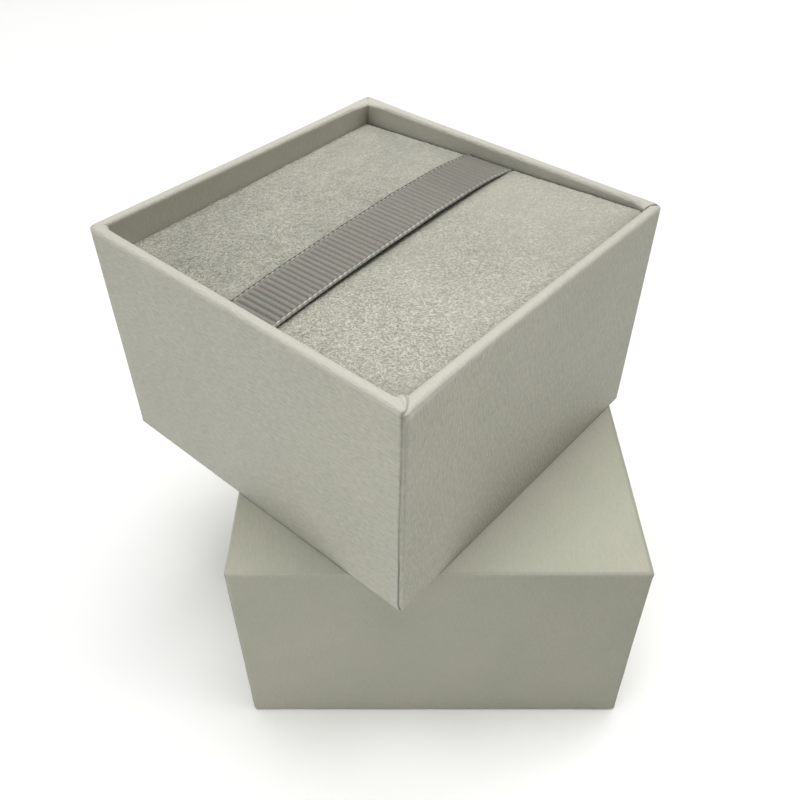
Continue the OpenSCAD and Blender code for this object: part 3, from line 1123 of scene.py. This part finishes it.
def ribbon_piece(material):
    """The grosgrain band, woven ribs and stitched selvedges in the mesh."""
    path, s = ribbon_path()
    path_x, path_z = path[:, :1], path[:, 1:]
    tangent = np.gradient(path, axis=0)
    tangent /= np.linalg.norm(tangent, axis=1, keepdims=True)
    top, under = ribbon_section()
    across = np.concatenate([top, under])
    on_face = np.concatenate([np.ones(len(top)), np.zeros(len(under))])
    length, w = np.meshgrid(s, across, indexing="ij")
    height, shade, stitch = ribbon_relief(length, w, path_x)
    edge_round = 0.09 * bell(np.abs(w) - RIBBON_W / 2, 0.12)
    lift = np.where(on_face > 0, RIBBON_T / 2 + height - edge_round, -RIBBON_T / 2 + 0.02)
    # the band rolls a little towards the camera where it lies on the pad
    on_top = smooth((path_z + 0.6) / 0.8)
    along = path_x / (PAD_SIZE[0] / 2)
    roll = np.interp(along, [-1, 0.4, 1], [0.015, 0.05, 0.04])
    x = path_x - tangent[:, 1:] * lift
    z = path_z + tangent[:, :1] * lift + on_top * roll * w
    y = w + RIBBON_AT + 0.58 * along + 0.05 * value_noise(length, np.zeros_like(w), 6.0, 63)
    points = np.stack([x, y, z], -1).reshape(-1, 3)
    rows, cols = w.shape
    quads = grid_faces(rows, cols, wrap=True)[:, ::-1]
    ends = [list(range(cols)), list(range((rows - 1) * cols, rows * cols))[::-1]]
    uv = corner_uv(rows, cols, lambda row, at: (np.full(cols, s[row]), across[at]), turned=True)
    uv = np.concatenate([uv, np.zeros((2 * cols, 2))])
    attributes = {"shade": shade.ravel(), "stitch": (stitch * on_face).ravel()}
    return make_piece("ribbon_band", PAD, points, quads, ends, material, attributes, uv)


# ---------------------------------------------------------------- the foam

def foam_rows(half):
    """The block's section, as (inset, share of the height): its underside, side and top."""
    most = half - 0.6
    levels = np.concatenate([[0, 0.02, 0.05], np.linspace(0.08, 0.92, 26), [0.95, 0.98, 1.0]])
    side = []
    for share in levels:
        past = max(0.0, abs(share - 0.5) * 2 - 0.93) / 0.07
        side.append((0.45 * (1 - math.sqrt(max(0.0, 1 - past ** 2))), share))
    under = [(min(inset, most), 0.0) for inset in (29.0, 20, 10, 4, 1.4)]
    over = [(min(inset, most), 1.0) for inset in (1.4, 4, 7, 10, 13, 16, 19, 22, 25, 27, most)]
    return under + side + over


def foam_piece(material):
    """The foam that fills the tray: soft rounded edges, a sloping top and torn pores."""
    block = TRAY.local(node_points("foam_block"))
    half, floor = block[:, 0].max(), block[:, 2].min()
    corner = block[np.argmax(block[:, 2])]
    normal = PAD.axes[2] @ TRAY.axes.T
    points = []
    for inset, share in foam_rows(half):
        spot = ring(half - inset, 1.0)[0]
        top = corner[2] - (spot - corner[:2]) @ normal[:2] / normal[2]
        z = floor + (top - floor) * share - 0.04 * (share == 1)
        points.append(np.column_stack([spot, z]))
    rows, cols = len(points), len(points[0])
    points = np.concatenate(points)
    quads = grid_faces(rows, cols, wrap=True)
    x, y, z = points.T
    rough = 0.5 + 0.5 * value_noise(x + z, y - 0.6 * z, 1.1, 71)
    points = points - vertex_normals(points, quads) * (0.12 * rough)[:, None]
    middles = [[0, 0, points[:cols, 2].mean()], [0, 0, points[-cols:, 2].mean()]]
    points = np.concatenate([points, middles])
    return make_piece("foam_filler", TRAY, points, quads, end_fans(rows, cols), material)


# ---------------------------------------------------------------- the object

# An upright corner of a shell, in mm. at is where the cut edge runs on the wall, bulge how far
# it bows across the rim, gap how far its outer end gapes, and strip the width of the sunk strip
# beside it. fill is how far the fold stands into the box, over the lengths reach and beyond on
# either side of the cut. lean and splay are how far the rim's corner stands out in y and in x.
PLAIN_SEAM = {
    "at": -0.3, "bulge": 0.1, "gap": 0.4, "strip": 0.0,
    "fill": 0.3, "reach": 2.1, "beyond": 0.25, "lean": 0.0, "splay": 0.0,
}


def seam(**changes):
    return {**PLAIN_SEAM, **changes}


# seams: corners 0 to 3. Next, how far the pale fold, from wear and painted highlight, reaches down
# walls 0 to 3.
# Last, painted shade and light: the paper's brightness at corner 0, the middle of wall 1, corner 1,
# and on to wall 0.
TRAY_LOOK = {
    "seams": [
        seam(gap=3.5, fill=0.7, reach=2.4),
        seam(bulge=0.15, gap=0.8, fill=0.45, reach=4.0, beyond=4.0, lean=0.4, splay=0.4),
        seam(gap=0.2, fill=0.5, reach=1.6),
        seam(at=-0.4, bulge=1.2, gap=0.9, strip=0.8, fill=0.9, lean=0.65),
    ],
    "pale_reach": [0.45, 0.25, 0.25, 0.45],
    "painted_shade_along": [0.89, 0.945, 1.0, 0.955, 0.91, 0.945, 0.98, 0.935],
}
LID_LOOK = {
    "seams": [seam(bulge=0.2), seam(strip=0.4, splay=0.9), seam(strip=0.4, splay=-0.05), seam()],
    "pale_reach": [0.0, 0.0, 0.0, 0.0],
    "painted_shade_along": [0.92, 0.86, 0.80, 0.93, 0.97, 0.985, 1.0, 0.96],
}


def build_object():
    """Builds the pieces; the boards, stays, linings and card keep their CAD shapes."""
    tray_paper = wrap_paper(
        "tray_paper", tone(186, 185, 172), tone(178, 178, 165), tone(200, 198, 187), emboss=1.3
    )
    lid_paper = wrap_paper(
        "lid_paper", tone(176, 174, 160), tone(166, 168, 152), tone(188, 186, 172), emboss=0.45
    )
    skin = wrapped_shell("tray_skin", TRAY, TRAY_HALF, TRAY_H, tray_paper, TRAY_LOOK, 101)
    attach(skin, "tray")
    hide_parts("tray_wrap")
    skin = wrapped_shell("lid_skin", LID, LID_HALF, LID_H, lid_paper, LID_LOOK, 201)
    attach(skin, "lid")
    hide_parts("lid_wrap")

    pad = pad_piece(suede())
    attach(pad, "pad")
    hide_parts("suede_cover", "pad_wadding")
    band = ribbon_piece(grosgrain())
    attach(band, "pad")
    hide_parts("ribbon")
    filler = foam_piece(foam())
    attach(filler, "block")
    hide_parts("foam_block")

    papers = {
        "_board": greyboard(),
        "_stay_": plain_paper("stay_paper", tone(196, 188, 168), tone(184, 176, 156)),
        "_lin": plain_paper("lining_paper", tone(214, 213, 205), tone(206, 205, 197)),
        "pad_card": plain_paper("pad_card", tone(188, 184, 172), tone(176, 172, 160)),
    }
    for name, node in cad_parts.items():
        for part, paper in papers.items():
            if part in name:
                node.data.materials.clear()
                node.data.materials.append(paper)


# ---------------------------------------------------------------- floor, light, camera

LIGHT_SIZE = 0.8        # metres
CAMERA_AT = (2.725, -114.0, 147.37)     # mm
CAMERA_AZIMUTH = -0.0024                # radians
CAMERA_ELEVATION = 0.7405
CAMERA_ROLL = 0.0023
LENS = 38.59


def build_camera():
    az, el, roll = CAMERA_AZIMUTH, CAMERA_ELEVATION, CAMERA_ROLL
    right = Vector((math.cos(az), math.sin(az), 0))
    ahead = Vector((-math.sin(az) * math.cos(el), math.cos(az) * math.cos(el), -math.sin(el)))
    up = right.cross(ahead)
    tilted_right = right * math.cos(roll) + up * math.sin(roll)
    tilted_up = up * math.cos(roll) - right * math.sin(roll)
    turn = Matrix((tilted_right, tilted_up, -ahead)).transposed()
    data = bpy.data.cameras.new("camera")
    data.lens = LENS
    data.sensor_width = 36.0
    data.clip_start = 0.005
    camera = link("camera", data)
    camera.matrix_world = Matrix.Translation(Vector(CAMERA_AT) * MM) @ turn.to_4x4()
    bpy.context.scene.camera = camera


def build_floor():
    """A wide, flat, pale sheet."""
    steps = 25
    mesh = bpy.data.meshes.new("floor")
    line = np.linspace(-FLOOR_REACH, FLOOR_REACH, steps) * MM
    x, y = np.meshgrid(line, line, indexing="ij")
    points = np.stack([x, y, np.full(x.shape, FLOOR_Z * MM)], -1).reshape(-1, 3)
    mesh.from_pydata(points.tolist(), [], grid_faces(steps, steps, False)[:, ::-1].tolist())
    mesh.materials.append(matt_floor())
    floor = link("floor", mesh)


def area_light(name, at, towards, watts, colour):
    data = bpy.data.lights.new(name, "AREA")
    data.shape = "DISK"
    data.size = LIGHT_SIZE
    data.energy = watts
    data.color = colour
    light = link(name, data)
    light.location = at
    light.rotation_euler = (Vector(towards) - Vector(at)).to_track_quat("-Z", "Y").to_euler()


def build_light():
    """Soft disks round a small object, in metres, with a faint white world behind."""
    scene = bpy.context.scene
    world = bpy.data.worlds.new("studio")
    world.use_nodes = True
    back = world.node_tree.nodes["Background"]
    back.inputs["Color"].default_value = (1.0, 1.0, 1.0, 1.0)
    back.inputs["Strength"].default_value = 0.02
    scene.world = world
    scene.view_settings.view_transform = "Standard"
    white, warm = (1.0, 1.0, 1.0), (1.0, 0.985, 0.94)
    for name, at, watts, colour in (
        ("top", (0, 0, 1.1), 10.8, white),
        ("left", (-1.0, -0.1, 0.6), 1.3, white),
        ("right", (1.0, -0.1, 0.6), 3.3, warm),
        ("back_left", (-0.7, 0.7, 0.8), 0.8, white),
        ("back_right", (0.7, 0.7, 0.8), 3.0, warm),
        ("front_left", (-0.8, -0.8, 0.3), 4.4, white),
    ):
        area_light(name, at, (0, 0, 0.05), watts, colour)


build_object()
build_camera()
build_floor()
build_light()

bpy.context.view_layer.update()
